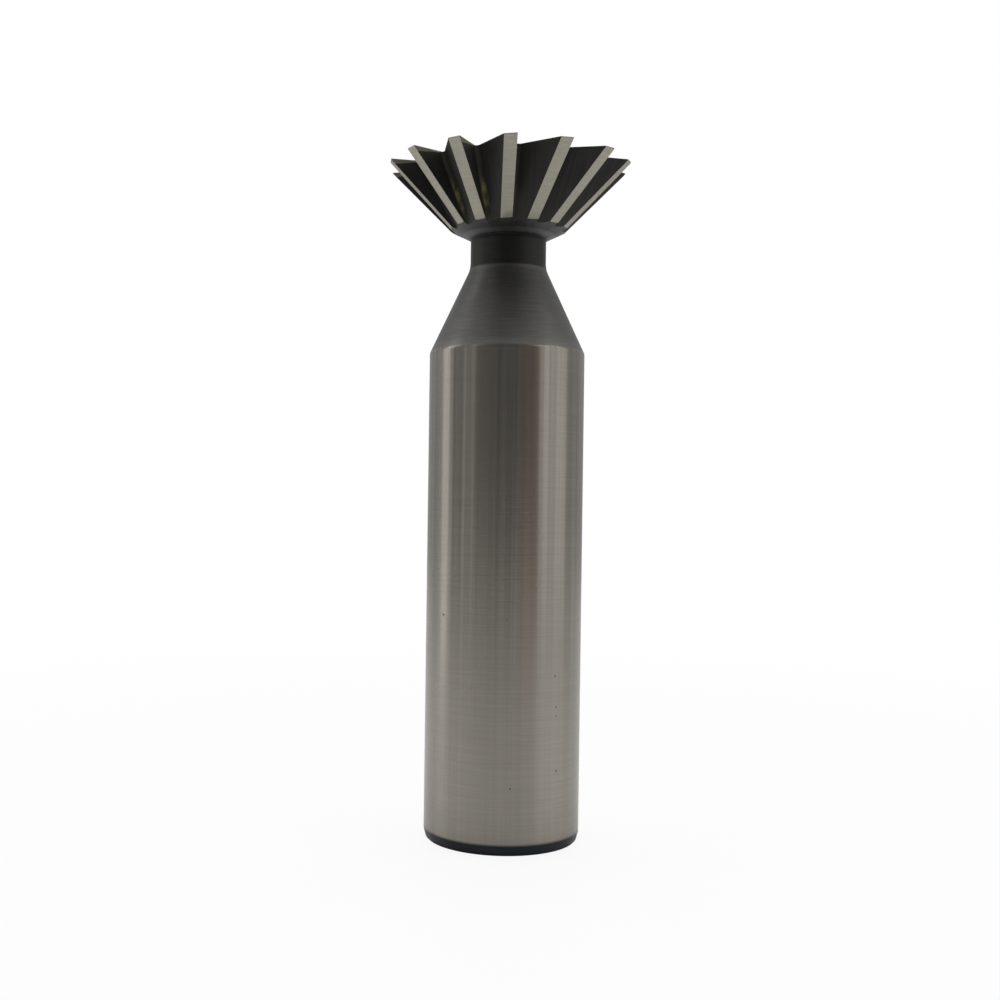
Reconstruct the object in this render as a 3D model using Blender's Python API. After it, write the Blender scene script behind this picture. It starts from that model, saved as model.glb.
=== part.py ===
"""Dovetail cutter: a straight shank, a tapered shoulder and neck, and a toothed 45 degree head.

The tool is ground from one bar, so it is one solid. It stands on its shank end with +Z up. The
origin is the centre of the shank's end face, and the axis of the tool is the Z axis.

The shank, the neck and the recess in the end face are turned from profiles. The head is a loft
through outlines of its teeth and flutes. A turned surface has as many sides as an outline has
points, so the loft meets the neck and the recess point to point.
"""

import math

import bmesh
import bpy
from mathutils import Matrix, Vector

# Driving dimensions, in metres and degrees.
SHANK_DIAMETER = 0.0160
SHANK_LENGTH = 0.0499
SHANK_CHAMFER_RADIAL = 0.0002
SHANK_CHAMFER_AXIAL = 0.0009
SHANK_EDGE_BREAK = 0.00015
SHOULDER_ROUNDING = 0.0004

TAPER_ANGLE = 25.0
TAPER_FILLET = 0.0030
NECK_DIAMETER = 0.0078
NECK_LENGTH = 0.00305

COLLAR_DIAMETER = 0.0122
COLLAR_ANGLE = 64.0
COLLAR_FILLET = 0.00025

HEAD_DIAMETER = 0.0250
CUTTING_ANGLE = 45.0
CORNER_FACET_HEIGHT = 0.00015
CORNER_FACET_ANGLE = 20.0

TEETH = 14
LAND_WIDTH_AT_COLLAR = 0.00117
LAND_WIDTH_AT_END = 0.00128
LAND_RELIEF_ANGLE = 8.0
FLUTE_DEPTH_AT_COLLAR = 0.00042
FLUTE_DEPTH_AT_END = 0.0037
FLUTE_FILLET_AT_COLLAR = 0.00022
FLUTE_FILLET_AT_END = 0.0004

END_RELIEF_ANGLE = 1.5
END_RECESS_DIAMETER = 0.0130
END_RECESS_DEPTH = 0.0012
END_RECESS_FILLET = 0.0005

CENTRE_HOLE_ANGLE = 60.0
CENTRE_DRILL_POINT_ANGLE = 120.0
SHANK_CENTRE_MOUTH = 0.00425
SHANK_CENTRE_PILOT = 0.0020
SHANK_CENTRE_PILOT_DEPTH = 0.0010
END_CENTRE_MOUTH = 0.00335
END_CENTRE_PILOT = 0.0016
END_CENTRE_PILOT_DEPTH = 0.0008

# How finely the curved stretches are cut into flats.
FILLET_STEPS = 4
FLUTE_FILLET_STEPS = 2
FLUTE_BACK_STEPS = 3
LAND_STEPS = 2
POINTS_PER_TOOTH = 1 + FLUTE_FILLET_STEPS + FLUTE_BACK_STEPS + LAND_STEPS
FLUTE_OUTLINES = 5
SURFACE_SEARCH_STEPS = 60
MERGE_DISTANCE = 0.000001
SHARP_EDGE_ANGLE = 25.0

# Places along the axis, worked out from the sizes above.
SHANK_RADIUS = SHANK_DIAMETER / 2
NECK_RADIUS = NECK_DIAMETER / 2
COLLAR_RADIUS = COLLAR_DIAMETER / 2
HEAD_RADIUS = HEAD_DIAMETER / 2
END_RECESS_RADIUS = END_RECESS_DIAMETER / 2
TOOTH_PITCH = 2 * math.pi / TEETH
SIDES = TEETH * POINTS_PER_TOOTH

NECK_Z = SHANK_LENGTH + (SHANK_RADIUS - NECK_RADIUS) / math.tan(math.radians(TAPER_ANGLE))
COLLAR_Z = NECK_Z + NECK_LENGTH
TEETH_Z = COLLAR_Z + (COLLAR_RADIUS - NECK_RADIUS) / math.tan(math.radians(COLLAR_ANGLE))
CORNER_FOOT_RADIUS = HEAD_RADIUS - CORNER_FACET_HEIGHT * math.tan(math.radians(CORNER_FACET_ANGLE))
CORNER_FOOT_Z = TEETH_Z + (CORNER_FOOT_RADIUS - COLLAR_RADIUS) / math.tan(math.radians(CUTTING_ANGLE))
END_Z = CORNER_FOOT_Z + CORNER_FACET_HEIGHT
RECESS_FLOOR_Z = END_Z - END_RECESS_DEPTH

# Finishes: name, base colour, roughness and metallic value, in the order of the material slots.
FINISHES = (
    ("ground_steel", (0.26, 0.25, 0.23, 1.0), 0.36, 1.0),
    ("ground_land", (0.33, 0.31, 0.28, 1.0), 0.42, 1.0),
    ("blackened_steel", (0.030, 0.031, 0.032, 1.0), 0.48, 0.6),
)
GROUND, LAND, BLACK = range(3)

# A face of the loft is ground where all its corners lie this near to the cutting cone, or where
# it faces up within this angle.
LAND_BAND_DEPTH = 0.0003
END_FACING_ANGLE = 35.0


def blend(start, end, share):
    """The value that lies at this share of the way from start to end."""
    return start + (end - start) * share


def raised(point, z):
    """A flat point lifted to this height."""
    return Vector((point.x, point.y, z))


def rounded_corner(before, corner, after, radius, steps=FILLET_STEPS):
    """The arc of this radius that replaces a corner of a profile, as points from before to after."""
    towards_before = (before - corner).normalized()
    towards_after = (after - corner).normalized()
    half_angle = towards_before.angle(towards_after) / 2
    centre_distance = radius / math.sin(half_angle)
    centre = corner + (towards_before + towards_after).normalized() * centre_distance
    foot_distance = radius / math.tan(half_angle)
    first = corner + towards_before * foot_distance - centre
    last = corner + towards_after * foot_distance - centre
    sweep = first.angle_signed(last)
    return [centre + Matrix.Rotation(-sweep * n / steps, 2) @ first for n in range(steps + 1)]


def centre_hole_profile(mouth_diameter, pilot_diameter, pilot_depth):
    """(radius, depth) points of a centre hole, from its mouth to the tip of its drilled pilot."""
    cone_depth = (mouth_diameter - pilot_diameter) / 2 / math.tan(math.radians(CENTRE_HOLE_ANGLE / 2))
    pilot_end = cone_depth + pilot_depth
    point_length = pilot_diameter / 2 / math.tan(math.radians(CENTRE_DRILL_POINT_ANGLE / 2))
    return [
        Vector((mouth_diameter / 2, 0.0)),
        Vector((pilot_diameter / 2, cone_depth)),
        Vector((pilot_diameter / 2, pilot_end)),
        Vector((0.0, pilot_end + point_length)),
    ]


def shank_end_profile():
    """(radius, z) points of the shank's end, from the centre hole's tip out to the chamfer's top."""
    hole = centre_hole_profile(SHANK_CENTRE_MOUTH, SHANK_CENTRE_PILOT, SHANK_CENTRE_PILOT_DEPTH)
    chamfer_foot_radius = SHANK_RADIUS - SHANK_CHAMFER_RADIAL
    flat_rim = Vector((chamfer_foot_radius - SHANK_EDGE_BREAK, 0.0))
    chamfer_foot = Vector((chamfer_foot_radius, SHANK_EDGE_BREAK))
    chamfer_top = Vector((SHANK_RADIUS, SHANK_CHAMFER_AXIAL))
    return [*reversed(hole), flat_rim, chamfer_foot, chamfer_top]


def shank_profile():
    """(radius, z) points of the ground shank, from the chamfer's top up to its rounded shoulder."""
    chamfer_top = Vector((SHANK_RADIUS, SHANK_CHAMFER_AXIAL))
    shoulder = Vector((SHANK_RADIUS, SHANK_LENGTH))
    neck_foot = Vector((NECK_RADIUS, NECK_Z))
    return [chamfer_top] + rounded_corner(chamfer_top, shoulder, neck_foot, SHOULDER_ROUNDING)


def neck_profile():
    """(radius, z) points of the taper and the neck, with the fillets at the neck's two ends."""
    shoulder = Vector((SHANK_RADIUS, SHANK_LENGTH))
    neck_foot = Vector((NECK_RADIUS, NECK_Z))
    neck_top = Vector((NECK_RADIUS, COLLAR_Z))
    collar_rim = Vector((COLLAR_RADIUS, TEETH_Z))
    taper_fillet = rounded_corner(shoulder, neck_foot, neck_top, TAPER_FILLET)
    collar_fillet = rounded_corner(neck_foot, neck_top, collar_rim, COLLAR_FILLET)
    return shank_profile()[-1:] + taper_fillet + collar_fillet


def recess_profile():
    """(radius, z) points of the recess in the end face, from below its rim in to the centre hole."""
    rim = Vector((END_RECESS_RADIUS, END_Z))
    corner = Vector((END_RECESS_RADIUS, RECESS_FLOOR_Z))
    hole = centre_hole_profile(END_CENTRE_MOUTH, END_CENTRE_PILOT, END_CENTRE_PILOT_DEPTH)
    hole_points = [Vector((point.x, RECESS_FLOOR_Z - point.y)) for point in hole]
    return rounded_corner(rim, corner, hole_points[0], END_RECESS_FILLET) + hole_points


def edge_radius_at(z):
    """Radius of the cutting edges at this height: the cone, then the small facet at the corner."""
    slope = CUTTING_ANGLE if z <= CORNER_FOOT_Z else CORNER_FACET_ANGLE
    return CORNER_FOOT_RADIUS + (z - CORNER_FOOT_Z) * math.tan(math.radians(slope))


def tooth_outline(z):
    """Outline at this height from one cutting edge, across a flute, to the next tooth's land.

    The cutting edge lies on the +X axis, and the rake face runs straight from it towards the
    axis of the tool. The next tooth's cutting edge is one pitch further round.
    """
    share = (z - TEETH_Z) / (END_Z - TEETH_Z)
    edge_radius = edge_radius_at(z)
    land_width = blend(LAND_WIDTH_AT_COLLAR, LAND_WIDTH_AT_END, share)
    flute_radius = blend(
        COLLAR_RADIUS - FLUTE_DEPTH_AT_COLLAR, HEAD_RADIUS - FLUTE_DEPTH_AT_END, share
    )
    fillet = blend(FLUTE_FILLET_AT_COLLAR, FLUTE_FILLET_AT_END, share)
    edge = Vector((edge_radius, 0.0))
    turn_to_next = Matrix.Rotation(TOOTH_PITCH, 2)
    relief_drop = land_width * math.tan(math.radians(LAND_RELIEF_ANGLE))
    next_edge = turn_to_next @ edge
    land_rear = turn_to_next @ Vector((edge_radius - relief_drop, -land_width))
    flute_foot = Vector((flute_radius, 0.0))
    gullet = rounded_corner(edge, flute_foot, land_rear, fillet, FLUTE_FILLET_STEPS)
    back = [
        gullet[-1].lerp(land_rear, n / FLUTE_BACK_STEPS) for n in range(1, FLUTE_BACK_STEPS + 1)
    ]
    land = [land_rear.lerp(next_edge, n / LAND_STEPS) for n in range(1, LAND_STEPS)]
    return [edge] + gullet + back + land


def collar_height(point):
    """Height of the collar's cone under this point."""
    return COLLAR_Z + (point.length - NECK_RADIUS) / math.tan(math.radians(COLLAR_ANGLE))


def end_relief_height(point):
    """Height of the end face at this point: it falls away behind the next tooth's end edge."""
    next_rake_normal = Matrix.Rotation(TOOTH_PITCH, 2) @ Vector((0.0, 1.0))
    behind_edge = max(0.0, -point.dot(next_rake_normal))
    return END_Z - behind_edge * math.tan(math.radians(END_RELIEF_ANGLE))


def outline_on_surface(start_z, surface_height):
    """The tooth outline where it meets a surface, as 3-D points, each found step by step."""
    points = []
    for index in range(POINTS_PER_TOOTH):
        z = start_z
        for _ in range(SURFACE_SEARCH_STEPS):
            z = surface_height(tooth_outline(z)[index])
        points.append(raised(tooth_outline(z)[index], z))
    return points


def end_outline():
    """The tooth outline on the end face, where each cutting edge reaches the tool's full height."""
    points = outline_on_surface(END_Z, end_relief_height)
    points[0] = Vector((HEAD_RADIUS, 0.0, END_Z))
    return points


def recess_rim_outline():
    """The recess's rim along one tooth, with a step under the inner end of the end cutting edge."""
    points = [Vector((END_RECESS_RADIUS, 0.0, END_Z))]
    steps = POINTS_PER_TOOTH - 1
    for n in range(steps):
        rim = Matrix.Rotation(TOOTH_PITCH * n / steps, 2) @ Vector((END_RECESS_RADIUS, 0.0))
        points.append(raised(rim, end_relief_height(rim)))
    return points


def head_outlines():
    """One tooth's part of each outline of the loft, from the collar's cone up to the recess's rim."""
    level = []
    for n in range(1, FLUTE_OUTLINES + 1):
        z = blend(TEETH_Z, CORNER_FOOT_Z, n / FLUTE_OUTLINES)
        level.append([raised(point, z) for point in tooth_outline(z)])
    on_collar = outline_on_surface(TEETH_Z, collar_height)
    return [on_collar, *level, end_outline(), recess_rim_outline()]


def turn(bm, profile, material_index):
    """Turn a profile of (radius, z) points about the axis into a surface with this material."""
    points = [bm.verts.new((radius, 0.0, z)) for radius, z in profile]
    edges = [bm.edges.new(pair) for pair in zip(points, points[1:])]
    faces_before = set(bm.faces)
    bmesh.ops.spin(
        bm,
        geom=points + edges,
        cent=(0.0, 0.0, 0.0),
        axis=(0.0, 0.0, 1.0),
        angle=2 * math.pi,
        steps=SIDES,
        use_merge=True,
    )
    for face in set(bm.faces) - faces_before:
        face.material_index = material_index


def closed_loop(bm, tooth_points):
    """A closed loop of edges through the points of one tooth, repeated for every tooth."""
    turns = [Matrix.Rotation(TOOTH_PITCH * tooth, 3, "Z") for tooth in range(TEETH)]
    points = [bm.verts.new(to_tooth @ point) for to_tooth in turns for point in tooth_points]
    return [bm.edges.new(pair) for pair in zip(points, points[1:] + points[:1])]


def open_edges(bm, lowest, highest):
    """The open edges of the turned surfaces between two heights."""
    return [
        edge for edge in bm.edges if edge.is_boundary and lowest < edge.verts[0].co.z < highest
    ]


def is_ground(face):
    """Whether a face of the loft is ground bright: a land on the cutting cone, or the end face."""
    depths = [edge_radius_at(vertex.co.z) - vertex.co.to_2d().length for vertex in face.verts]
    return max(depths) < LAND_BAND_DEPTH or face.normal.z > math.cos(math.radians(END_FACING_ANGLE))


def material(name, colour, roughness, metallic):
    """A plain material with these values."""
    made = bpy.data.materials.new(name)
    made.use_nodes = True
    shader = made.node_tree.nodes["Principled BSDF"]
    shader.inputs["Base Color"].default_value = colour
    shader.inputs["Roughness"].default_value = roughness
    shader.inputs["Metallic"].default_value = metallic
    made.diffuse_color = colour
    return made


def dovetail_cutter():
    """The whole cutter as one object."""
    bm = bmesh.new()
    turn(bm, shank_end_profile(), BLACK)
    turn(bm, shank_profile(), GROUND)
    turn(bm, neck_profile(), BLACK)
    turn(bm, recess_profile(), BLACK)
    bmesh.ops.remove_doubles(bm, verts=bm.verts, dist=MERGE_DISTANCE)

    neck_top = open_edges(bm, NECK_Z, TEETH_Z)
    recess_wall = open_edges(bm, RECESS_FLOOR_Z, END_Z)
    loops = [neck_top, *(closed_loop(bm, outline) for outline in head_outlines()), recess_wall]
    loft = []
    for lower, upper in zip(loops, loops[1:]):
        loft.extend(bmesh.ops.bridge_loops(bm, edges=lower + upper)["faces"])
    bmesh.ops.recalc_face_normals(bm, faces=bm.faces)
    for face in loft:
        face.material_index = LAND if is_ground(face) else BLACK

    mesh = bpy.data.meshes.new("dovetail_cutter")
    bm.to_mesh(mesh)
    bm.free()
    for finish in FINISHES:
        mesh.materials.append(material(*finish))
    mesh.shade_smooth()
    mesh.set_sharp_from_angle(angle=math.radians(SHARP_EDGE_ANGLE))
    cutter = bpy.data.objects.new("dovetail_cutter", mesh)
    bpy.context.scene.collection.objects.link(cutter)
    return cutter


def main():
    """Clear the scene and model the cutter."""
    for old in list(bpy.data.objects):
        bpy.data.objects.remove(old, do_unlink=True)
    dovetail_cutter()


main()
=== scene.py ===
"""Looks of the dovetail cutter: its finely modelled surface, its steel finishes, light and camera.

The cutter is ground from one bar, so it is one piece. Its shank, neck and end recess are spun
from profiles. One tooth of its head is bridged through outlines and repeated all round.
"""

import logging
import math
from dataclasses import dataclass
from enum import Enum
from typing import Callable, Sequence

import bmesh
import bpy
from mathutils import Euler, Matrix, Vector


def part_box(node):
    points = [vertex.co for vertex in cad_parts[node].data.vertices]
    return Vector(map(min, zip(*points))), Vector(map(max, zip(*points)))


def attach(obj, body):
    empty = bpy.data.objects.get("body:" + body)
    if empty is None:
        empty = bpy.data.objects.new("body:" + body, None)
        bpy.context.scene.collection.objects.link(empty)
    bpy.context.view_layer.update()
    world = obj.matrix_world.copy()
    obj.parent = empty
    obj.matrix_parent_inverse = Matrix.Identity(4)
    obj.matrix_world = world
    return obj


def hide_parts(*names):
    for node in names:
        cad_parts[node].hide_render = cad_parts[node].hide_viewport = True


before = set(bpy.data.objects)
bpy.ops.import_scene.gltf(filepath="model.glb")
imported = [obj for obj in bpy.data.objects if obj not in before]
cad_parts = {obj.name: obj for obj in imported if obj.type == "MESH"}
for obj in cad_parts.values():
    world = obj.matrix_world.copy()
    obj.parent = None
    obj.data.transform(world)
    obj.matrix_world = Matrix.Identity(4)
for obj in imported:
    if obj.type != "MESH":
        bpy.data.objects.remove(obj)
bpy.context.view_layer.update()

LOG = logging.getLogger("dovetail_cutter")
NODE = "dovetail_cutter"
BODY = "root"
TOOTH_MAP = "tooth"
MERGE_DISTANCE = 0.000001
AXIS_ORIGIN = (0.0, 0.0, 0.0)
TOOL_AXIS = (0.0, 0.0, 1.0)
LEVEL_PART = (1.0, 1.0, 0.0)
WHITE = (1.0, 1.0, 1.0, 1.0)
# Nearly all of a noise lies between these two values.
NOISE_LOW = 0.25
NOISE_HIGH = 0.75

Profile = list[Vector]
Colour = tuple[float, float, float]
Stretch = tuple[float, float, float]
Socket = bpy.types.NodeSocket
Feed = Socket | float | tuple[float, ...]


class Surface(Enum):
    """The finishes of the cutter's surface, in the order of its material slots."""

    GROUND_SHANK = 0
    BLACK_NECK = 1
    GROUND_COLLAR = 2
    BLACK_FLUTE = 3
    GROUND_LAND = 4
    BLACK_END = 5
    BRIGHT_EDGE = 6


def blend(start: float, end: float, share: float) -> float:
    """Gives the value at a share of the way from start to end."""
    return start + (end - start) * share


def slope_of(degrees: float) -> float:
    """Gives the tangent of an angle in degrees."""
    return math.tan(math.radians(degrees))


def raised(point: Vector, z: float) -> Vector:
    """Gives a flat point lifted to this height."""
    return Vector((point.x, point.y, z))


def opaque(colour: Colour) -> tuple[float, ...]:
    """Gives a colour with full alpha."""
    return (*colour, 1.0)


def heading(azimuth: float, elevation: float = 0.0) -> Vector:
    """Gives a direction in space.

    Args:
        azimuth: Angle round the tool in degrees; 0 is the side of -Y.
        elevation: Angle above the level, in degrees.

    Returns:
        A vector of length 1.
    """
    turn, lift = math.radians(azimuth), math.radians(elevation)
    level = math.cos(lift)
    return Vector((math.sin(turn) * level, -math.cos(turn) * level, math.sin(lift)))


def rounded_corner(
    before: Vector, corner: Vector, after: Vector, radius: float, steps: int
) -> Profile:
    """Rounds one corner of a flat outline.

    Args:
        before: The point that the outline comes from.
        corner: The sharp corner.
        after: The point that the outline goes to.
        radius: Radius of the arc, in metres.
        steps: How many flats the arc is cut into.

    Returns:
        The points of the arc, in the outline's order.
    """
    towards_before = (before - corner).normalized()
    towards_after = (after - corner).normalized()
    half_angle = towards_before.angle(towards_after) / 2
    bisector = (towards_before + towards_after).normalized()
    centre = corner + bisector * (radius / math.sin(half_angle))
    foot_distance = radius / math.tan(half_angle)
    first = corner + towards_before * foot_distance - centre
    last = corner + towards_after * foot_distance - centre
    sweep = first.angle_signed(last)
    return [centre + Matrix.Rotation(-sweep * n / steps, 2) @ first for n in range(steps + 1)]


def stepped(start: Vector, end: Vector, steps: int) -> Profile:
    """Gives the points that cut a straight run into equal steps, without its start."""
    return [start.lerp(end, n / steps) for n in range(1, steps + 1)]


@dataclass
class Shank:
    """The plain ground shank, with its chamfered end and its centre hole."""

    radius: float = 0.0080
    length: float = 0.0499
    chamfer_radial: float = 0.0002
    chamfer_axial: float = 0.0009
    edge_break: float = 0.00015
    shoulder_rounding: float = 0.0008
    centre_mouth: float = 0.00425
    centre_pilot: float = 0.0020
    centre_pilot_depth: float = 0.0010
    centre_hole_angle: float = 60.0
    drill_point_angle: float = 120.0
    rounding_steps: int = 6
    length_steps: int = 12
    face_steps: int = 3

    def shoulder(self) -> Vector:
        """Gives the sharp corner between the shank and the taper."""
        return Vector((self.radius, self.length))

    def chamfer_top(self) -> Vector:
        """Gives the corner where the chamfer meets the ground shank."""
        return Vector((self.radius, self.chamfer_axial))

    def end_profile(self) -> Profile:
        """Gives the end of the shank from the centre hole's tip out to the chamfer's top.

        Returns:
            Points of radius and height.
        """
        pilot = self.centre_pilot / 2
        mouth = self.centre_mouth / 2
        cone_depth = (mouth - pilot) / slope_of(self.centre_hole_angle / 2)
        pilot_end = cone_depth + self.centre_pilot_depth
        tip = pilot_end + pilot / slope_of(self.drill_point_angle / 2)
        foot = Vector((self.radius - self.chamfer_radial, self.edge_break))
        rim = Vector((foot.x - self.edge_break, 0.0))
        hole = [Vector((0.0, tip)), Vector((pilot, pilot_end)), Vector((pilot, cone_depth))]
        face = [Vector((mouth, 0.0)), *stepped(Vector((mouth, 0.0)), rim, self.face_steps)]
        return [*hole, *face, foot, self.chamfer_top()]

    def barrel_profile(self, neck_foot: Vector) -> Profile:
        """Gives the ground shank from the chamfer's top up to its rounded shoulder.

        Args:
            neck_foot: The foot of the neck, which the taper runs to.

        Returns:
            Points of radius and height.
        """
        bottom = self.chamfer_top()
        rounding = rounded_corner(
            bottom, self.shoulder(), neck_foot, self.shoulder_rounding, self.rounding_steps
        )
        return [bottom, *stepped(bottom, rounding[0], self.length_steps), *rounding[1:]]


@dataclass
class Neck:
    """The tapered shoulder and the slim neck, up to the fillet under the collar."""

    shank: Shank
    taper_angle: float = 25.0
    taper_fillet: float = 0.0030
    radius: float = 0.0039
    length: float = 0.00305
    collar_radius: float = 0.0061
    collar_angle: float = 64.0
    collar_fillet: float = 0.00025
    rounding_steps: int = 8
    taper_steps: int = 4

    def foot(self) -> Vector:
        """Gives the sharp corner between the taper and the neck."""
        rise = (self.shank.radius - self.radius) / slope_of(self.taper_angle)
        return Vector((self.radius, self.shank.length + rise))

    def top(self) -> Vector:
        """Gives the sharp corner between the neck and the collar's cone."""
        return Vector((self.radius, self.foot().y + self.length))

    def collar_rim(self) -> Vector:
        """Gives the outer edge of the collar, where the cutting cone starts."""
        rise = (self.collar_radius - self.radius) / slope_of(self.collar_angle)
        return Vector((self.collar_radius, self.top().y + rise))

    def collar_height(self, point: Vector) -> float:
        """Gives the height of the collar's cone over a flat point."""
        return self.top().y + (point.length - self.radius) / slope_of(self.collar_angle)

    def profile(self) -> Profile:
        """Gives the taper and the neck up to the fillet under the collar.

        Returns:
            Points of radius and height.
        """
        shank_end = self.shank.barrel_profile(self.foot())[-1]
        lower = rounded_corner(
            self.shank.shoulder(), self.foot(), self.top(), self.taper_fillet, self.rounding_steps
        )
        upper = rounded_corner(
            self.foot(), self.top(), self.collar_rim(), self.collar_fillet, self.rounding_steps
        )
        return [shank_end, *stepped(shank_end, lower[0], self.taper_steps), *lower[1:], *upper]


@dataclass
class ToothedHead:
    """The cutting head: straight flutes on a cone, ground lands and a recessed end face."""

    neck: Neck
    end_z: float
    radius: float
    teeth: int = 14
    cutting_angle: float = 45.0
    facet_height: float = 0.00015
    facet_angle: float = 20.0
    land_width_at_collar: float = 0.00117
    land_width_at_end: float = 0.00128
    land_relief_angle: float = 8.0
    flute_depth_at_collar: float = 0.00042
    flute_depth_at_end: float = 0.0037
    fillet_at_collar: float = 0.00022
    fillet_at_end: float = 0.0004
    end_relief_angle: float = 1.5
    recess_radius: float = 0.0065
    recess_depth: float = 0.0012
    recess_fillet: float = 0.0005
    centre_mouth: float = 0.00335
    centre_pilot: float = 0.0016
    centre_pilot_depth: float = 0.0008
    fillet_steps: int = 8
    back_steps: int = 6
    land_steps: int = 3
    outlines: int = 9
    search_steps: int = 60

    def pitch(self) -> float:
        """Gives the angle from one tooth to the next, in radians."""
        return 2 * math.pi / self.teeth

    def steps_per_tooth(self) -> int:
        """Gives how many steps each outline takes along one tooth."""
        return 1 + self.fillet_steps + self.back_steps + self.land_steps

    def sides(self) -> int:
        """Gives how many steps each outline takes all round."""
        return self.teeth * self.steps_per_tooth()

    def facet_foot(self) -> Vector:
        """Gives the radius and height where the cutting cone meets the corner facet."""
        foot_radius = self.radius - self.facet_height * slope_of(self.facet_angle)
        return Vector((foot_radius, self.end_z - self.facet_height))

    def edge_radius(self, z: float) -> float:
        """Gives the radius of the cutting edges.

        Args:
            z: Height above the shank's end, in metres.

        Returns:
            The radius, in metres.
        """
        foot = self.facet_foot()
        angle = self.cutting_angle if z <= foot.y else self.facet_angle
        return foot.x + (z - foot.y) * slope_of(angle)

    def outline(self, z: float) -> Profile:
        """Gives the outline at this height from one cutting edge to the next tooth's land.

        Args:
            z: Height above the shank's end, in metres.

        Returns:
            Flat points: down the rake face, round the gullet, up the back and over the land.
        """
        start_z = self.neck.collar_rim().y
        share = (z - start_z) / (self.end_z - start_z)
        edge_radius = self.edge_radius(z)
        land_width = blend(self.land_width_at_collar, self.land_width_at_end, share)
        shallow = self.neck.collar_radius - self.flute_depth_at_collar
        flute_radius = blend(shallow, self.radius - self.flute_depth_at_end, share)
        to_next = Matrix.Rotation(self.pitch(), 2)
        drop = land_width * slope_of(self.land_relief_angle)
        edge = Vector((edge_radius, 0.0))
        land_rear = to_next @ Vector((edge_radius - drop, -land_width))
        foot = Vector((flute_radius, 0.0))
        fillet = blend(self.fillet_at_collar, self.fillet_at_end, share)
        gullet = rounded_corner(edge, foot, land_rear, fillet, self.fillet_steps)
        back = stepped(gullet[-1], land_rear, self.back_steps)
        land = stepped(land_rear, to_next @ edge, self.land_steps)
        return [edge, *gullet, *back, *land[:-1]]

    def end_height(self, point: Vector) -> float:
        """Gives the height of the relieved end face.

        Args:
            point: A flat point of the tooth that lies before the next cutting edge.

        Returns:
            The height above the shank's end, in metres.
        """
        next_rake_normal = Matrix.Rotation(self.pitch(), 2) @ Vector((0.0, 1.0))
        behind_edge = max(0.0, -point.dot(next_rake_normal))
        return self.end_z - behind_edge * slope_of(self.end_relief_angle)

    def on_surface(self, start_z: float, height_at: Callable[[Vector], float]) -> Profile:
        """Gives the outline where it meets a surface, each point found step by step.

        Args:
            start_z: Height to start the search from.
            height_at: Height of the surface at a flat point.

        Returns:
            Points in space along one tooth.
        """
        points = []
        for index in range(self.steps_per_tooth()):
            z = start_z
            for _ in range(self.search_steps):
                z = height_at(self.outline(z)[index])
            points.append(raised(self.outline(z)[index], z))
        return points

    def end_outline(self) -> Profile:
        """Gives the outline on the end face, where each cutting edge reaches the full height.

        Returns:
            Points in space along one tooth.
        """
        points = self.on_surface(self.end_z, self.end_height)
        points[0] = Vector((self.radius, 0.0, self.end_z))
        return points

    def recess_rim(self) -> Profile:
        """Gives the rim of the end recess, with the step at each end edge.

        Returns:
            Points in space along one tooth.
        """
        rim = Vector((self.recess_radius, 0.0))
        steps = self.steps_per_tooth() - 1
        low = [Matrix.Rotation(self.pitch() * n / steps, 2) @ rim for n in range(steps)]
        return [raised(rim, self.end_z), *(raised(point, self.end_height(point)) for point in low)]

    def ring(self, radius: float, z: float) -> Profile:
        """Gives a round rim.

        Args:
            radius: Radius of the rim, in metres.
            z: Height of the rim, in metres.

        Returns:
            Points in space along one tooth.
        """
        steps = self.steps_per_tooth()
        rim = Vector((radius, 0.0, z))
        return [Matrix.Rotation(self.pitch() * n / steps, 3, "Z") @ rim for n in range(steps)]

    def chains(self) -> list[Profile]:
        """Gives one tooth's part of each outline, from the neck's rim to the recess's wall.

        Returns:
            Chains of points in space, which end where the next tooth starts.
        """
        start_z = self.neck.collar_rim().y
        foot_z = self.facet_foot().y
        heights = [blend(start_z, foot_z, n / self.outlines) for n in range(1, self.outlines + 1)]
        neck_rim = self.neck.profile()[-1]
        wall_rim = self.recess_profile()[0]
        starts = [
            self.ring(*neck_rim),
            self.on_surface(start_z, self.neck.collar_height),
            *([raised(point, z) for point in self.outline(z)] for z in heights),
            self.end_outline(),
            self.recess_rim(),
            self.ring(*wall_rim),
        ]
        to_next = Matrix.Rotation(self.pitch(), 3, "Z")
        return [[*points, to_next @ points[0]] for points in starts]

    def recess_profile(self) -> Profile:
        """Gives the recess in the end face, from its wall in to the centre hole's tip.

        Returns:
            Points of radius and height.
        """
        floor_z = self.end_z - self.recess_depth
        shank = self.neck.shank
        mouth = Vector((self.centre_mouth / 2, floor_z))
        pilot = self.centre_pilot / 2
        cone_end = floor_z - (mouth.x - pilot) / slope_of(shank.centre_hole_angle / 2)
        pilot_end = cone_end - self.centre_pilot_depth
        tip = pilot_end - pilot / slope_of(shank.drill_point_angle / 2)
        rim = Vector((self.recess_radius, self.end_z))
        corner = Vector((self.recess_radius, floor_z))
        wall = rounded_corner(rim, corner, mouth, self.recess_fillet, self.fillet_steps)
        hole = [Vector((pilot, cone_end)), Vector((pilot, pilot_end)), Vector((0.0, tip))]
        return [*wall, *stepped(wall[-1], mouth, shank.face_steps), *hole]

    def surface_at(self, strip: int, strips: int, column: int) -> Surface:
        """Gives the finish of a face of the head by its place on the tooth.

        Args:
            strip: The face's strip, counted from the neck's rim.
            strips: How many strips there are.
            column: The face's place along the outline, counted from the cutting edge.

        Returns:
            The finish.
        """
        if strip == 0:
            return Surface.GROUND_COLLAR
        if strip == strips - 1:
            return Surface.BLACK_END
        on_end_face = strip == strips - 2
        on_land = column >= self.steps_per_tooth() - self.land_steps
        return Surface.GROUND_LAND if on_end_face or on_land else Surface.BLACK_FLUTE


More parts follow.
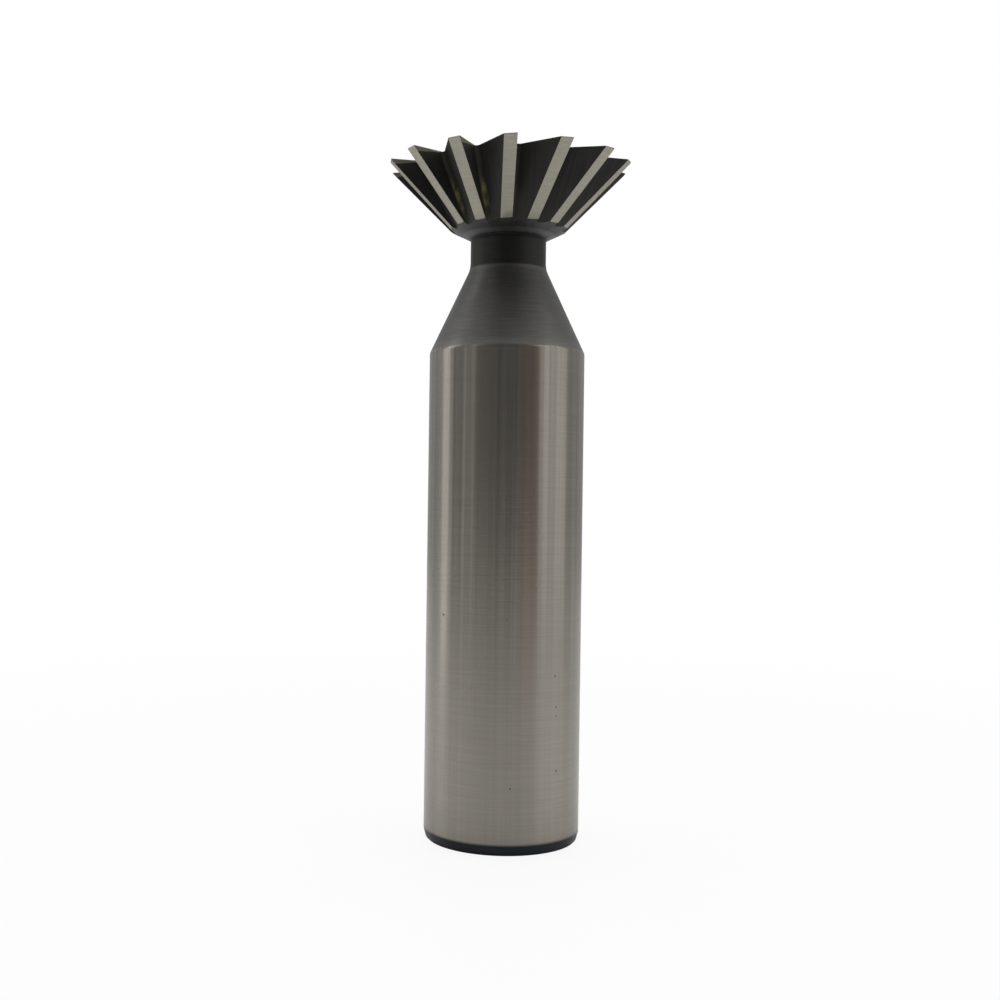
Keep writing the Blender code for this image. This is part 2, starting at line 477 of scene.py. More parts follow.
@dataclass
class Cutter:
    """The whole cutter, put together from its turned stretches and its toothed head."""

    shank: Shank
    neck: Neck
    head: ToothedHead
    bevel_width: float = 0.00004
    bevel_segments: int = 2
    bevelled_angle: float = 24.0
    sharp_angle: float = 22.0

    def turn(self, bm: bmesh.types.BMesh, profile: Sequence[Vector], surface: Surface) -> None:
        """Spins a profile about the tool's axis.

        Args:
            bm: The mesh that the surface is added to.
            profile: Points of radius and height.
            surface: The finish of the new faces.
        """
        points = [bm.verts.new((point.x, 0.0, point.y)) for point in profile]
        edges = [bm.edges.new(pair) for pair in zip(points, points[1:])]
        faces_before = set(bm.faces)
        bmesh.ops.spin(
            bm,
            geom=points + edges,
            cent=AXIS_ORIGIN,
            axis=TOOL_AXIS,
            angle=2 * math.pi,
            steps=self.head.sides(),
            use_merge=True,
        )
        for face in set(bm.faces) - faces_before:
            face.material_index = surface.value

    def bridge_tooth(self, bm: bmesh.types.BMesh) -> None:
        """Bridges one tooth and its flute through the outlines, and repeats them all round.

        The tooth map holds each point's way along the outline from the middle of the gullet,
        and its depth under the end face, in metres.

        Args:
            bm: The mesh that the teeth are added to. It is still empty.
        """
        tooth_map = bm.loops.layers.uv.new(TOOTH_MAP)
        gullet = 1 + self.head.fillet_steps // 2
        spots: dict[bmesh.types.BMVert, tuple[int, float, float]] = {}
        rows = []
        for chain in self.head.chains():
            row = [bm.verts.new(point) for point in chain]
            steps = [(end.co - start.co).length for start, end in zip(row, row[1:])]
            to_gullet = sum(steps[:gullet])
            for index, vert in enumerate(row):
                spots[vert] = (index, sum(steps[:index]) - to_gullet, self.head.end_z - vert.co.z)
            rows.append([bm.edges.new(pair) for pair in zip(row, row[1:])])
        strips = len(rows) - 1
        for strip, (lower, upper) in enumerate(zip(rows, rows[1:])):
            for face in bmesh.ops.bridge_loops(bm, edges=lower + upper)["faces"]:
                column = min(spots[vert][0] for vert in face.verts)
                face.material_index = self.head.surface_at(strip, strips, column).value
                for loop in face.loops:
                    loop[tooth_map].uv = spots[loop.vert][1:]
        others = self.head.teeth - 1
        bmesh.ops.spin(
            bm,
            geom=[*bm.verts, *bm.edges, *bm.faces],
            cent=AXIS_ORIGIN,
            axis=TOOL_AXIS,
            angle=self.head.pitch() * others,
            steps=others,
            use_duplicate=True,
        )

    def build(self) -> bpy.types.Object:
        """Models the cutter's surface.

        Returns:
            The cutter as one object, with its finish's number on each face.
        """
        bm = bmesh.new()
        self.bridge_tooth(bm)
        self.turn(bm, self.shank.end_profile(), Surface.BLACK_END)
        self.turn(bm, self.shank.barrel_profile(self.neck.foot()), Surface.GROUND_SHANK)
        self.turn(bm, self.neck.profile(), Surface.BLACK_NECK)
        self.turn(bm, self.head.recess_profile(), Surface.BLACK_END)
        bmesh.ops.remove_doubles(bm, verts=bm.verts, dist=MERGE_DISTANCE)
        bmesh.ops.recalc_face_normals(bm, faces=bm.faces)
        self.bevel_edges(bm)
        mesh = bpy.data.meshes.new("cutter")
        bm.to_mesh(mesh)
        bm.free()
        mesh.shade_smooth()
        mesh.set_sharp_from_angle(angle=math.radians(self.sharp_angle))
        cutter = bpy.data.objects.new("cutter", mesh)
        bpy.context.scene.collection.objects.link(cutter)
        evening = cutter.modifiers.new("even_normals", "WEIGHTED_NORMAL")
        evening.keep_sharp = True
        return cutter

    def bevel_edges(self, bm: bmesh.types.BMesh) -> None:
        """Breaks the sharp edges of the whole cutter by a fine bright bevel.

        Args:
            bm: The closed mesh of the cutter.
        """
        limit = math.radians(self.bevelled_angle)
        sharp = [edge for edge in bm.edges if edge.calc_face_angle(0.0) > limit]
        broken = bmesh.ops.bevel(
            bm,
            geom=sharp,
            offset=self.bevel_width,
            segments=self.bevel_segments,
            profile=0.5,
            affect="EDGES",
            clamp_overlap=True,
            material=-1,
        )
        for face in broken["faces"]:
            face.material_index = Surface.BRIGHT_EDGE.value
        LOG.info("%d sharp edges broken by %d faces", len(sharp), len(broken["faces"]))


class NodeBoard:
    """One node tree, with short calls that add nodes and link them."""

    def __init__(self, tree: bpy.types.NodeTree) -> None:
        """Keeps the tree that the nodes go into."""
        self.tree = tree

    def put(self, socket: Socket, feed: Feed) -> None:
        """Links an input to another node's output, or sets its constant value.

        Args:
            socket: The input.
            feed: The output, or the value.
        """
        if isinstance(feed, bpy.types.NodeSocket):
            self.tree.links.new(feed, socket)
        else:
            socket.default_value = feed

    def add(self, kind: str, feeds: dict[str | int, Feed], **settings: object) -> bpy.types.Node:
        """Adds a node.

        Args:
            kind: The node's type.
            feeds: What goes into each input, by the input's name or number.
            settings: Other properties of the node.

        Returns:
            The new node.
        """
        node = self.tree.nodes.new(kind)
        for name, value in settings.items():
            setattr(node, name, value)
        for key, feed in feeds.items():
            self.put(node.inputs[key], feed)
        return node

    def math(self, operation: str, *feeds: Feed) -> Socket:
        """Gives the result of one sum on values."""
        return self.add("ShaderNodeMath", dict(enumerate(feeds)), operation=operation).outputs[0]

    def vector_math(self, operation: str, *feeds: Feed) -> bpy.types.Node:
        """Adds one sum on vectors."""
        return self.add("ShaderNodeVectorMath", dict(enumerate(feeds)), operation=operation)

    def distance(self, value: Feed, other: Feed) -> Socket:
        """Gives how far one value is from another."""
        return self.math("ABSOLUTE", self.math("SUBTRACT", value, other))

    def product(self, first: Feed, *others: Feed) -> Feed:
        """Gives the product of some values.

        Args:
            first: The first value.
            others: What it is multiplied by, one after the other.

        Returns:
            The product.
        """
        result = first
        for other in others:
            result = self.math("MULTIPLY", result, other)
        return result

    def span(self, value: Feed, low: Feed, high: Feed, start: Feed, end: Feed) -> Socket:
        """Gives start where the value is up to low, end from high on, and a soft step between."""
        feeds = dict(enumerate((value, low, high, start, end)))
        return self.add("ShaderNodeMapRange", feeds, interpolation_type="SMOOTHSTEP").outputs[0]

    def mix(self, share: Feed, start: Feed, end: Feed) -> Socket:
        """Gives a colour between two colours; the node's inputs 6 and 7 are its colours."""
        return self.add("ShaderNodeMix", {0: share, 6: start, 7: end}, data_type="RGBA").outputs[2]

    def scaled(self, colour: Feed, shade: Feed) -> Socket:
        """Gives a colour made darker or lighter."""
        feeds = {0: colour, "Scale": shade}
        return self.add("ShaderNodeVectorMath", feeds, operation="SCALE").outputs[0]

    def group(self, tree: bpy.types.NodeTree, **feeds: Feed) -> Socket:
        """Adds a shared group.

        Args:
            tree: The group, which has one output.
            feeds: What goes into each of its inputs, by name.

        Returns:
            The group's output.
        """
        node = self.tree.nodes.new("ShaderNodeGroup")
        node.node_tree = tree
        for name, feed in feeds.items():
            self.put(node.inputs[name], feed)
        return node.outputs[0]


def new_group(name: str, inputs: dict[str, str], output: str) -> NodeBoard:
    """Starts a shared node group.

    Args:
        name: The group's name.
        inputs: Socket types by input name.
        output: Name of its one output, which is a value.

    Returns:
        A board for the group, with its input and output nodes in place.
    """
    tree = bpy.data.node_groups.new(name, "ShaderNodeTree")
    for label, kind in inputs.items():
        tree.interface.new_socket(label, in_out="INPUT", socket_type=kind)
    tree.interface.new_socket(output, in_out="OUTPUT", socket_type="NodeSocketFloat")
    tree.nodes.new("NodeGroupInput")
    tree.nodes.new("NodeGroupOutput")
    return NodeBoard(tree)


def grain_group() -> bpy.types.NodeTree:
    """Makes the shared grain: a noise that is drawn out along some axes of its position.

    Returns:
        The group, whose value goes from 0 to 1.
    """
    inputs = {
        "Position": "NodeSocketVector",
        "Stretch": "NodeSocketVector",
        "Detail": "NodeSocketFloat",
    }
    board = new_group("steel_grain", inputs, "Value")
    given = board.tree.nodes["Group Input"].outputs
    drawn = board.vector_math("MULTIPLY", given["Position"], given["Stretch"]).outputs[0]
    feeds = {"Vector": drawn, "Scale": 1.0, "Detail": given["Detail"]}
    noise = board.add("ShaderNodeTexNoise", feeds).outputs[0]
    value = board.span(noise, NOISE_LOW, NOISE_HIGH, 0.0, 1.0)
    board.put(board.tree.nodes["Group Output"].inputs["Value"], value)
    return board.tree


@dataclass(frozen=True)
class Pit:
    """One tiny dark pit in the shank, at an azimuth in degrees; its core is fully dark."""

    azimuth: float
    z: float
    radius: float = 0.00010
    core_share: float = 0.5


PITS = (
    Pit(-38.8, 0.02329, 0.00014),
    Pit(12.0, 0.02311, 0.00006),
    Pit(49.7, 0.01749),
    Pit(51.1, 0.01442),
    Pit(51.2, 0.01352, 0.00008),
    Pit(51.9, 0.00808, 0.00012),
    Pit(15.7, 0.00665),
    Pit(128.0, 0.03120),
    Pit(205.0, 0.01180, 0.00013),
    Pit(-104.0, 0.04010),
)


def pits_group(shank_radius: float) -> bpy.types.NodeTree:
    """Makes the shared mask of the shank's pits.

    Args:
        shank_radius: Radius of the surface that the pits lie in, in metres.

    Returns:
        The group, whose mask is 1 in a pit.
    """
    board = new_group("pits", {"Position": "NodeSocketVector"}, "Mask")
    position = board.tree.nodes["Group Input"].outputs["Position"]
    mask: Feed = 0.0
    for pit in PITS:
        centre = raised(heading(pit.azimuth) * shank_radius, pit.z)
        distance = board.vector_math("DISTANCE", position, tuple(centre)).outputs["Value"]
        spot = board.span(distance, pit.radius * pit.core_share, pit.radius, 1.0, 0.0)
        mask = board.math("MAXIMUM", mask, spot)
    board.put(board.tree.nodes["Group Output"].inputs["Mask"], mask)
    return board.tree


def stripe_group() -> bpy.types.NodeTree:
    """Makes the shared mask of a lengthwise stripe.

    Returns:
        The group, whose mask is 1 along the stripe's middle.
    """
    inputs = {
        "Position": "NodeSocketVector",
        "Heading": "NodeSocketVector",
        "Edge": "NodeSocketFloat",
    }
    board = new_group("lengthwise_stripe", inputs, "Mask")
    given = board.tree.nodes["Group Input"].outputs
    level = board.vector_math("MULTIPLY", given["Position"], LEVEL_PART).outputs[0]
    outwards = board.vector_math("NORMALIZE", level).outputs[0]
    nearness = board.vector_math("DOT_PRODUCT", outwards, given["Heading"]).outputs["Value"]
    mask = board.span(nearness, given["Edge"], 1.0, 0.0, 1.0)
    board.put(board.tree.nodes["Group Output"].inputs["Mask"], mask)
    return board.tree


@dataclass(frozen=True)
class SharedGroups:
    """The node groups that the finishes share."""

    grain: bpy.types.NodeTree
    pits: bpy.types.NodeTree
    stripe: bpy.types.NodeTree


@dataclass(frozen=True)
class Canvas:
    """What one finish is drawn on: its nodes, the shared groups and the place on the tool."""

    board: NodeBoard
    groups: SharedGroups
    place: Socket

    def height(self) -> Socket:
        """Gives the height above the shank's end, in metres."""
        return self.board.add("ShaderNodeSeparateXYZ", {0: self.place}).outputs["Z"]

    def tooth_spot(self) -> Socket:
        """Gives the place on the tooth map."""
        return self.board.add("ShaderNodeUVMap", {}, uv_map=TOOTH_MAP).outputs["UV"]

    def grain(self, place: Socket, stretch: Stretch, detail: float) -> Socket:
        """Gives a noise from 0 to 1, drawn out along some axes."""
        return self.board.group(self.groups.grain, Position=place, Stretch=stretch, Detail=detail)

    def stripe(self, azimuth: float, width: float) -> Socket:
        """Gives the mask of a lengthwise stripe.

        Args:
            azimuth: Where its middle lies, in degrees.
            width: Angle from its middle to its edge, in degrees.

        Returns:
            A value that is 1 along the middle and 0 beyond the edge.
        """
        towards = tuple(heading(azimuth))
        edge = math.cos(math.radians(width))
        return self.board.group(self.groups.stripe, Position=self.place, Heading=towards, Edge=edge)


@dataclass(frozen=True)
class SteelFinish:
    """A ground or blackened steel, with grinding lines and clouding.

    The stretch of a grain holds how many of its grains go into a metre along each axis.
    """

    name: str
    dark: Colour
    light: Colour
    roughness: tuple[float, float]
    metallic: float
    line_stretch: Stretch = (60.0, 60.0, 9000.0)
    line_weight: float = 0.5
    line_depth: float = 0.000003
    line_detail: float = 3.0
    cloud_stretch: Stretch = (260.0, 260.0, 260.0)
    cloud_detail: float = 1.5
    mark_detail: float = 2.0
    gloss: float = 0.5
    on_tooth_map: bool = False

    def build(self, groups: SharedGroups) -> bpy.types.Material:
        """Gives the finish as a material.

        Args:
            groups: The shared node groups.

        Returns:
            The new material.
        """
        made = bpy.data.materials.new(self.name)
        made.use_nodes = True
        board = NodeBoard(made.node_tree)
        shader = made.node_tree.nodes["Principled BSDF"]
        place = board.add("ShaderNodeTexCoord", {}).outputs["Object"]
        canvas = Canvas(board, groups, place)
        mapped = canvas.tooth_spot() if self.on_tooth_map else place
        lines = canvas.grain(mapped, self.line_stretch, self.line_detail)
        clouds = canvas.grain(place, self.cloud_stretch, self.cloud_detail)
        weighted = board.product(lines, self.line_weight)
        tone = board.math("MULTIPLY_ADD", clouds, 1.0 - self.line_weight, weighted)
        colour = board.mix(tone, opaque(self.dark), opaque(self.light))
        board.put(shader.inputs["Base Color"], self.marked(canvas, colour))
        board.put(shader.inputs["Roughness"], board.span(clouds, 0.0, 1.0, *self.roughness))
        shader.inputs["Metallic"].default_value = self.metallic
        shader.inputs["Specular IOR Level"].default_value = self.gloss
        feeds = {"Strength": 1.0, "Height": lines, "Distance": self.line_depth}
        bump = board.add("ShaderNodeBump", feeds)
        board.put(shader.inputs["Normal"], bump.outputs["Normal"])
        return made

    def marked(self, canvas: Canvas, colour: Socket) -> Socket:
        """Gives the colour with this finish's own marks; a plain finish has none."""
        return colour


@dataclass(frozen=True)
class ShankFinish(SteelFinish):
    """The ground shank: fine lengthwise streaks, painted light at its foot, a faint brown stripe and
    tiny pits.
    """

    streak_stretch: Stretch = (2600.0, 2600.0, 9.0)
    streak_light: float = 1.12
    streak_dark: float = 0.86
    streak_foot: float = 0.014
    streak_full: float = 0.034
    lowest_streaks: float = 0.25
    # Painted light: the steel is painted lighter towards its foot, standing in for the bright floor
    # reflected there.
    painted_foot_light: float = 1.08
    painted_light_foot: float = 0.004
    painted_light_end: float = 0.022
    stripe_azimuth: float = 27.5
    stripe_width: float = 10.0
    stripe_tint: Colour = (1.05, 0.91, 0.86)
    stripe_foot: float = 0.008
    stripe_full: float = 0.030
    pit_colour: Colour = (0.02, 0.018, 0.015)
    end_colour: Colour = (0.020, 0.024, 0.030)
    end_z: float = 0.0009
    end_fade: float = 0.0004

    def marked(self, canvas: Canvas, colour: Socket) -> Socket:
        """Gives the colour with the streaks, the painted light at the foot, the stripe, the pits and
        the dark end.

        Args:
            canvas: What the finish is drawn on.
            colour: The colour of the ground steel.

        Returns:
            The colour with its marks.
        """
        board = canvas.board
        z = canvas.height()
        streaks = canvas.grain(canvas.place, self.streak_stretch, self.mark_detail)
        shade = board.span(streaks, 0.0, 1.0, self.streak_dark, self.streak_light)
        depth = board.span(z, self.streak_foot, self.streak_full, self.lowest_streaks, 1.0)
        # Painted light: lighter towards the foot, in place of the floor's reflection.
        painted_brightening = board.span(z, self.painted_light_foot, self.painted_light_end, self.painted_foot_light, 1.0)
        shift = board.math("SUBTRACT", shade, 1.0)
        streaked = board.scaled(colour, board.math("MULTIPLY_ADD", shift, depth, painted_brightening))
        stripe = canvas.stripe(self.stripe_azimuth, self.stripe_width)
        fading = board.span(z, self.stripe_foot, self.stripe_full, 0.0, 1.0)
        tinted = board.vector_math("MULTIPLY", streaked, self.stripe_tint).outputs[0]
        stained = board.mix(board.product(stripe, fading), streaked, tinted)
        pits = board.group(canvas.groups.pits, Position=canvas.place)
        pitted = board.mix(pits, stained, opaque(self.pit_colour))
        darkened = board.span(z, self.end_z, self.end_z + self.end_fade, 1.0, 0.0)
        return board.mix(darkened, pitted, opaque(self.end_colour))


@dataclass(frozen=True)
class NeckFinish(SteelFinish):
    """The blackened neck: a dull taper with a painted highlight hem, a faint painted highlight ring
    and a darker neck above.

    Painted shade lies along one side and at the top of the taper, and painted shade makes the throat
    under the collar darkest.
    """

    ring_z: float = 0.05852
    ring_half_width: float = 0.00026
    # Painted highlight: a faint lighter ring where the taper meets the neck.
    ring_painted_light: float = 1.12
    neck_shade: float = 0.29
    taper_foot: float = 0.0505
    # Painted light and shade: the taper is painted lighter at its foot and darker at its top, as its
    # reflections fall.
    painted_foot_light: float = 1.25
    painted_top_shade: float = 0.90
    hem_foot: float = 0.0499
    hem_top: float = 0.0512
    # Painted highlight: the lowest part of the taper is painted lighter, standing in for light
    # reflected near the rounded shoulder.
    hem_painted_light: float = 1.35
    throat_foot: float = 0.0613
    throat_top: float = 0.0616
    # Painted shade: the throat under the collar is darkened, where the head shades it.
    throat_painted_shade: float = 0.45
    # Painted shade: one side of the neck and taper is painted darker, most at the top of the taper.
    painted_shade_azimuth: float = 25.6
    painted_shade_width: float = 45.0
    painted_side_shade: float = 0.76
    lowest_painted_shade: float = 0.35

    def marked(self, canvas: Canvas, colour: Socket) -> Socket:
        """Gives the colour with painted light on the taper, hem and ring, the darker neck, and
        painted shade.

        Args:
            canvas: What the finish is drawn on.
            colour: The colour of the blackened steel.

        Returns:
            The colour with its marks.
        """
        board = canvas.board
        z = canvas.height()
        neck_foot = self.ring_z + self.ring_half_width
        off_ring = board.distance(z, self.ring_z)
        # Painted highlight ring at the foot of the neck.
        ring = board.span(off_ring, 0.0, self.ring_half_width, self.ring_painted_light, 1.0)
        above = board.span(z, self.ring_z, neck_foot, 1.0, self.neck_shade)
        # Painted light and shade on the taper: lighter at its foot, darker at its top.
        painted_taper_light = board.span(z, self.taper_foot, self.ring_z, self.painted_foot_light, self.painted_top_shade)
        # Painted highlight on the hem at the foot of the taper.
        painted_hem = board.span(z, self.hem_foot, self.hem_top, self.hem_painted_light, 1.0)
        # Painted shade in the throat under the collar.
        painted_throat = board.span(z, self.throat_foot, self.throat_top, 1.0, self.throat_painted_shade)
        # Painted shade along one side of the neck and taper.
        stripe = canvas.stripe(self.painted_shade_azimuth, self.painted_shade_width)
        reach = board.span(z, self.taper_foot, self.ring_z, self.lowest_painted_shade, 1.0)
        painted_patch = board.span(board.product(stripe, reach), 0.0, 1.0, 1.0, self.painted_side_shade)
        return board.scaled(colour, board.product(ring, above, painted_taper_light, painted_hem, painted_throat, painted_patch))


@dataclass(frozen=True)
class CollarFinish(SteelFinish):
    """The underside of the collar, with a painted highlight band round its middle and painted light
    on its rim.
    """

    band_radius: float = 0.00448
    band_middle: float = 0.00010
    band_edge: float = 0.00042
    # Painted highlight: a lighter band round the middle, standing in for a reflection in the
    # collar's underside.
    band_painted_light: float = 1.9
    rim_start: float = 0.0048
    rim_full: float = 0.0057
    # Painted light: the outer rim is painted lighter, where light strikes it.
    rim_painted_light: float = 1.3

    def marked(self, canvas: Canvas, colour: Socket) -> Socket:
        """Gives the colour with the painted highlight band and the painted light on the rim.

        Args:
            canvas: What the finish is drawn on.
            colour: The colour of the collar's steel.

        Returns:
            The colour with its marks.
        """
        board = canvas.board
        level = board.vector_math("MULTIPLY", canvas.place, LEVEL_PART).outputs[0]
        radius = board.vector_math("LENGTH", level).outputs["Value"]
        off_band = board.distance(radius, self.band_radius)
        # Painted highlight band round the collar's middle.
        band = board.span(off_band, self.band_middle, self.band_edge, self.band_painted_light, 1.0)
        # Painted light on the collar's outer rim.
        rim = board.span(radius, self.rim_start, self.rim_full, 1.0, self.rim_painted_light)
        return board.scaled(colour, board.product(band, rim))


@dataclass(frozen=True)
class FluteFinish(SteelFinish):
    """The blackened flutes: a painted bronze highlight in some gullets and a bright strip at the end
    edge.

    The painted highlight is strong where the mask of its side is above full_side, and faint
    elsewhere.
    """

    # Painted highlight: a bronze line along the gullets, standing in for light reflected in their
    # curved bottoms.
    painted_sheen_colour: Colour = (0.200, 0.178, 0.075)
    painted_sheen_middle: float = 0.00012
    painted_sheen_edge: float = 0.00050
    painted_sheen_shift: float = 0.00012
    painted_sheen_top: float = 0.0024
    painted_sheen_full: float = 0.0038
    painted_sheen_low: float = 0.0048
    painted_sheen_foot: float = 0.0058
    painted_sheen_azimuth: float = -22.0
    painted_sheen_width: float = 36.0
    full_side: float = 0.5
    faintest: float = 0.08
    ragged_stretch: Stretch = (1500.0, 1500.0, 500.0)
    strip_colour: Colour = (0.15, 0.145, 0.110)
    strip_height: float = 0.0005
    strip_foot: float = 0.00018
    strip_start: float = -0.0036
    strip_end: float = -0.0003

    def marked(self, canvas: Canvas, colour: Socket) -> Socket:
        """Gives the colour with the gullet's painted highlight and the strip under the end edge.

        Args:
            canvas: What the finish is drawn on.
            colour: The colour of the blackened steel.

        Returns:
            The colour with its marks.
        """
        board = canvas.board
        spot = board.add("ShaderNodeSeparateXYZ", {0: canvas.tooth_spot()}).outputs
        across = spot["X"]
        depth = spot["Y"]
        off_line = board.distance(across, self.painted_sheen_shift)
        line = board.span(off_line, self.painted_sheen_middle, self.painted_sheen_edge, 1.0, 0.0)
        entry = board.span(depth, self.painted_sheen_top, self.painted_sheen_full, self.faintest, 1.0)
        leave = board.span(depth, self.painted_sheen_low, self.painted_sheen_foot, 1.0, self.faintest)
        length = board.product(entry, leave)
        ragged = canvas.grain(canvas.place, self.ragged_stretch, self.mark_detail)
        side = canvas.stripe(self.painted_sheen_azimuth, self.painted_sheen_width)
        reach = board.span(side, 0.0, self.full_side, self.faintest, 1.0)
        # Painted highlight along the gullet, in place of the light its curved bottom reflects.
        painted_sheen = board.product(line, length, ragged, reach)
        sheened = board.mix(painted_sheen, colour, opaque(self.painted_sheen_colour))
        on_rake = board.math("LESS_THAN", across, self.strip_end)
        heights = (self.strip_height, self.strip_foot)
        lowest = board.span(across, self.strip_start, self.strip_end, *heights)
        strip = board.math("LESS_THAN", depth, board.product(lowest, on_rake))
        return board.mix(strip, sheened, opaque(self.strip_colour))


FINISHES: dict[Surface, SteelFinish] = {
    Surface.GROUND_SHANK: ShankFinish(
        "ground_shank",
        dark=(0.256, 0.240, 0.209),
        light=(0.308, 0.289, 0.251),
        roughness=(0.26, 0.32),
        metallic=1.0,
        line_stretch=(150.0, 150.0, 8000.0),
        line_weight=0.6,
        line_depth=0.0000008,
        cloud_stretch=(70.0, 70.0, 30.0),
    ),
    Surface.BLACK_NECK: NeckFinish(
        "black_neck",
        dark=(0.106, 0.104, 0.098),
        light=(0.142, 0.140, 0.131),
        roughness=(0.40, 0.50),
        metallic=0.88,
        line_stretch=(450.0, 450.0, 6500.0),
        line_weight=0.6,
        line_depth=0.0000035,
    ),
    Surface.GROUND_COLLAR: CollarFinish(
        "ground_collar",
        dark=(0.036, 0.037, 0.036),
        light=(0.053, 0.054, 0.053),
        roughness=(0.43, 0.53),
        metallic=0.82,
    ),
    Surface.BLACK_FLUTE: FluteFinish(
        "black_flute",
        dark=(0.015, 0.0145, 0.0125),
        light=(0.034, 0.033, 0.029),
        roughness=(0.44, 0.56),
        metallic=0.1,
        line_stretch=(5200.0, 90.0, 0.0),
        gloss=0.15,
        on_tooth_map=True,
    ),
    Surface.GROUND_LAND: SteelFinish(
        "ground_land",
        dark=(0.320, 0.303, 0.255),
        light=(0.400, 0.378, 0.319),
        roughness=(0.50, 0.60),
        metallic=1.0,
        line_stretch=(420.0, 7500.0, 0.0),
        line_weight=0.7,
        on_tooth_map=True,
    ),
    Surface.BLACK_END: SteelFinish(
        "black_end",
        dark=(0.011, 0.013, 0.017),
        light=(0.022, 0.026, 0.032),
        roughness=(0.30, 0.42),
        metallic=0.6,
    ),
    Surface.BRIGHT_EDGE: SteelFinish(
        "bright_edge",
        dark=(0.36, 0.35, 0.32),
        light=(0.50, 0.49, 0.46),
        roughness=(0.28, 0.38),
        metallic=1.0,
    ),
}


@dataclass(frozen=True)
class Viewpoint:
    """The camera of the photograph, measured in the tool's own frame."""

    distance: float = 0.13053
    height: float = 0.034713
    azimuth: float = 9.4824
    yaw: float = -2.9622
    roll: float = 0.7735
    lens: float = 45.214
    sensor: float = 36.0
    shift_x: float = 0.060
    nearest_seen: float = 0.005
    farthest_seen: float = 20.0

    def build(self) -> bpy.types.Object:
        """Makes the camera and sets it as the scene's camera.

        Returns:
            The camera.
        """
        data = bpy.data.cameras.new("camera")
        data.lens = self.lens
        data.sensor_width = self.sensor
        data.shift_x = self.shift_x
        data.clip_start = self.nearest_seen
        data.clip_end = self.farthest_seen
        camera = bpy.data.objects.new("camera", data)
        around = Matrix.Rotation(math.radians(self.azimuth), 3, "Z")
        upright = Euler((math.pi / 2, 0.0, 0.0)).to_matrix()
        yaw = Matrix.Rotation(math.radians(-self.yaw), 3, "Z")
        roll = Matrix.Rotation(math.radians(self.roll), 3, "Z")
        camera.location = around @ Vector((0.0, -self.distance, self.height))
        camera.rotation_euler = (around @ yaw @ upright @ roll).to_euler()
        bpy.context.scene.collection.objects.link(camera)
        bpy.context.scene.camera = camera
        return camera


@dataclass(frozen=True)
class SoftBox:
    """One soft rectangular studio lamp that points at the middle of the tool.

    At level 1 its face is as bright as a white surface in plain light.
    """

    name: str
    azimuth: float
    elevation: float
    distance: float
    width: float
    height: float
    level: float
    aim_z: float = 0.036
    watts_per_level: float = 4.0

    def build(self) -> bpy.types.Object:
        """Makes the lamp.

        Returns:
            The lamp.
        """
        data = bpy.data.lights.new(self.name, "AREA")
        data.shape = "RECTANGLE"
        data.size = self.width
        data.size_y = self.height
        data.energy = self.watts_per_level * self.level * self.width * self.height
        lamp = bpy.data.objects.new(self.name, data)
        out = heading(self.azimuth, self.elevation)
        lamp.location = out * self.distance + Vector((0.0, 0.0, self.aim_z))
        lamp.rotation_euler = (-out).to_track_quat("-Z", "Y").to_euler()
        lamp.visible_camera = False
        bpy.context.scene.collection.objects.link(lamp)
        LOG.info("lamp %s: %.2f W", self.name, data.energy)
        return lamp


LAMPS = (
    SoftBox(
        "left_strip",
        azimuth=-88.0,
        elevation=20.0,
        distance=0.16,
        width=0.034,
        height=0.20,
        level=1.25,
    ),
    SoftBox(
        "left_fill",
        azimuth=-47.0,
        elevation=14.0,
        distance=0.8,
        width=0.30,
        height=1.1,
        level=0.25,
    ),
    SoftBox(
        "right_box",
        azimuth=83.5,
        elevation=14.0,
        distance=0.8,
        width=0.72,
        height=1.1,
        level=0.58,
    ),
    SoftBox(
        "top_box",
        azimuth=189.0,
        elevation=78.0,
        distance=0.9,
        width=0.9,
        height=0.9,
        level=2.0,
    ),
)


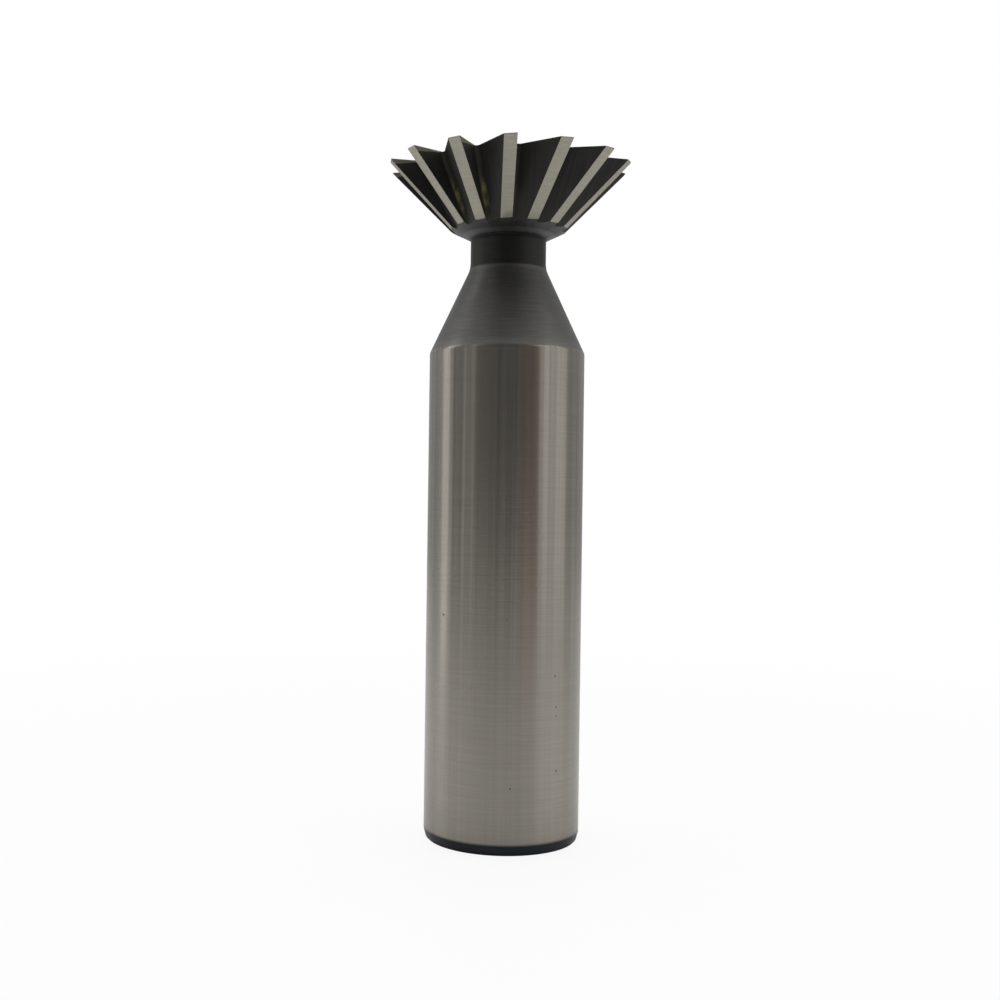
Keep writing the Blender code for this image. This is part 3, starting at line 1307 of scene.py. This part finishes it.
@dataclass(frozen=True)
class Studio:
    """A pale floor, a room that is dim in front of the tool and bright behind it, and lamps."""

    floor_size: float = 0.8
    floor_shade: float = 0.90
    floor_roughness: float = 0.35
    near_glow: float = 0.90
    glow_start: float = 0.03
    glow_full: float = 0.22
    front_azimuth: float = Viewpoint.azimuth
    front_level: float = 0.15
    back_level: float = 0.47
    front_edge: float = 0.95
    back_edge: float = -0.80
    lamps: tuple[SoftBox, ...] = LAMPS

    def build(self) -> None:
        """Makes the surround, the floor and the lamps."""
        self.build_surround()
        self.build_floor()
        for lamp in self.lamps:
            lamp.build()

    def build_surround(self) -> None:
        """Makes the room that the steel reflects; the camera sees plain white instead."""
        world = bpy.data.worlds.new("surround")
        world.use_nodes = True
        world.node_tree.nodes.clear()
        board = NodeBoard(world.node_tree)
        direction = board.add("ShaderNodeTexCoord", {}).outputs["Generated"]
        front = tuple(heading(self.front_azimuth))
        facing = board.vector_math("DOT_PRODUCT", direction, front).outputs["Value"]
        levels = (self.back_level, self.front_level)
        level = board.span(facing, self.back_edge, self.front_edge, *levels)
        room = board.add("ShaderNodeBackground", {"Color": WHITE, "Strength": level})
        white = board.add("ShaderNodeBackground", {"Color": WHITE})
        seen = board.add("ShaderNodeLightPath", {}).outputs["Is Camera Ray"]
        shaders = {0: seen, 1: room.outputs["Background"], 2: white.outputs["Background"]}
        mixed = board.add("ShaderNodeMixShader", shaders)
        board.add("ShaderNodeOutputWorld", {"Surface": mixed.outputs["Shader"]})
        bpy.context.scene.world = world

    def build_floor(self) -> bpy.types.Object:
        """Makes the pale floor, which keeps the tool's shadow and turns white further off.

        Returns:
            The floor.
        """
        bm = bmesh.new()
        bmesh.ops.create_grid(bm, x_segments=1, y_segments=1, size=self.floor_size / 2)
        mesh = bpy.data.meshes.new("floor")
        bm.to_mesh(mesh)
        bm.free()
        mesh.materials.append(self.floor_material())
        floor = bpy.data.objects.new("floor", mesh)
        bpy.context.scene.collection.objects.link(floor)
        return floor

    def floor_material(self) -> bpy.types.Material:
        """Makes the floor's material, whose glow only the camera sees.

        Returns:
            The new material.
        """
        made = bpy.data.materials.new("pale_floor")
        made.use_nodes = True
        board = NodeBoard(made.node_tree)
        shader = made.node_tree.nodes["Principled BSDF"]
        shader.inputs["Base Color"].default_value = opaque((self.floor_shade,) * 3)
        shader.inputs["Roughness"].default_value = self.floor_roughness
        place = board.add("ShaderNodeTexCoord", {}).outputs["Object"]
        distance = board.vector_math("LENGTH", place).outputs["Value"]
        glow = board.span(distance, self.glow_start, self.glow_full, self.near_glow, 1.0)
        seen = board.add("ShaderNodeLightPath", {}).outputs["Is Camera Ray"]
        white = board.add("ShaderNodeEmission", {})
        share = board.product(glow, seen)
        shaders = {0: share, 1: shader.outputs["BSDF"], 2: white.outputs["Emission"]}
        mixed = board.add("ShaderNodeMixShader", shaders)
        board.put(made.node_tree.nodes["Material Output"].inputs["Surface"], mixed.outputs["Shader"])
        return made


def main() -> None:
    """Builds the cutter, dresses it, and sets up the studio and the camera."""
    logging.basicConfig(level=logging.INFO, format="%(name)s: %(message)s")
    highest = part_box(NODE)[1]
    shank = Shank()
    neck = Neck(shank)
    head = ToothedHead(neck, end_z=highest.z, radius=highest.x)
    cutter = Cutter(shank, neck, head).build()
    groups = SharedGroups(grain_group(), pits_group(shank.radius), stripe_group())
    for surface in Surface:
        cutter.data.materials.append(FINISHES[surface].build(groups))
    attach(cutter, BODY)
    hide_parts(NODE)
    LOG.info("%s: %d faces", cutter.name, len(cutter.data.polygons))
    Studio().build()
    Viewpoint().build()
    bpy.context.scene.view_settings.view_transform = "Standard"


if __name__ == "__main__":
    main()
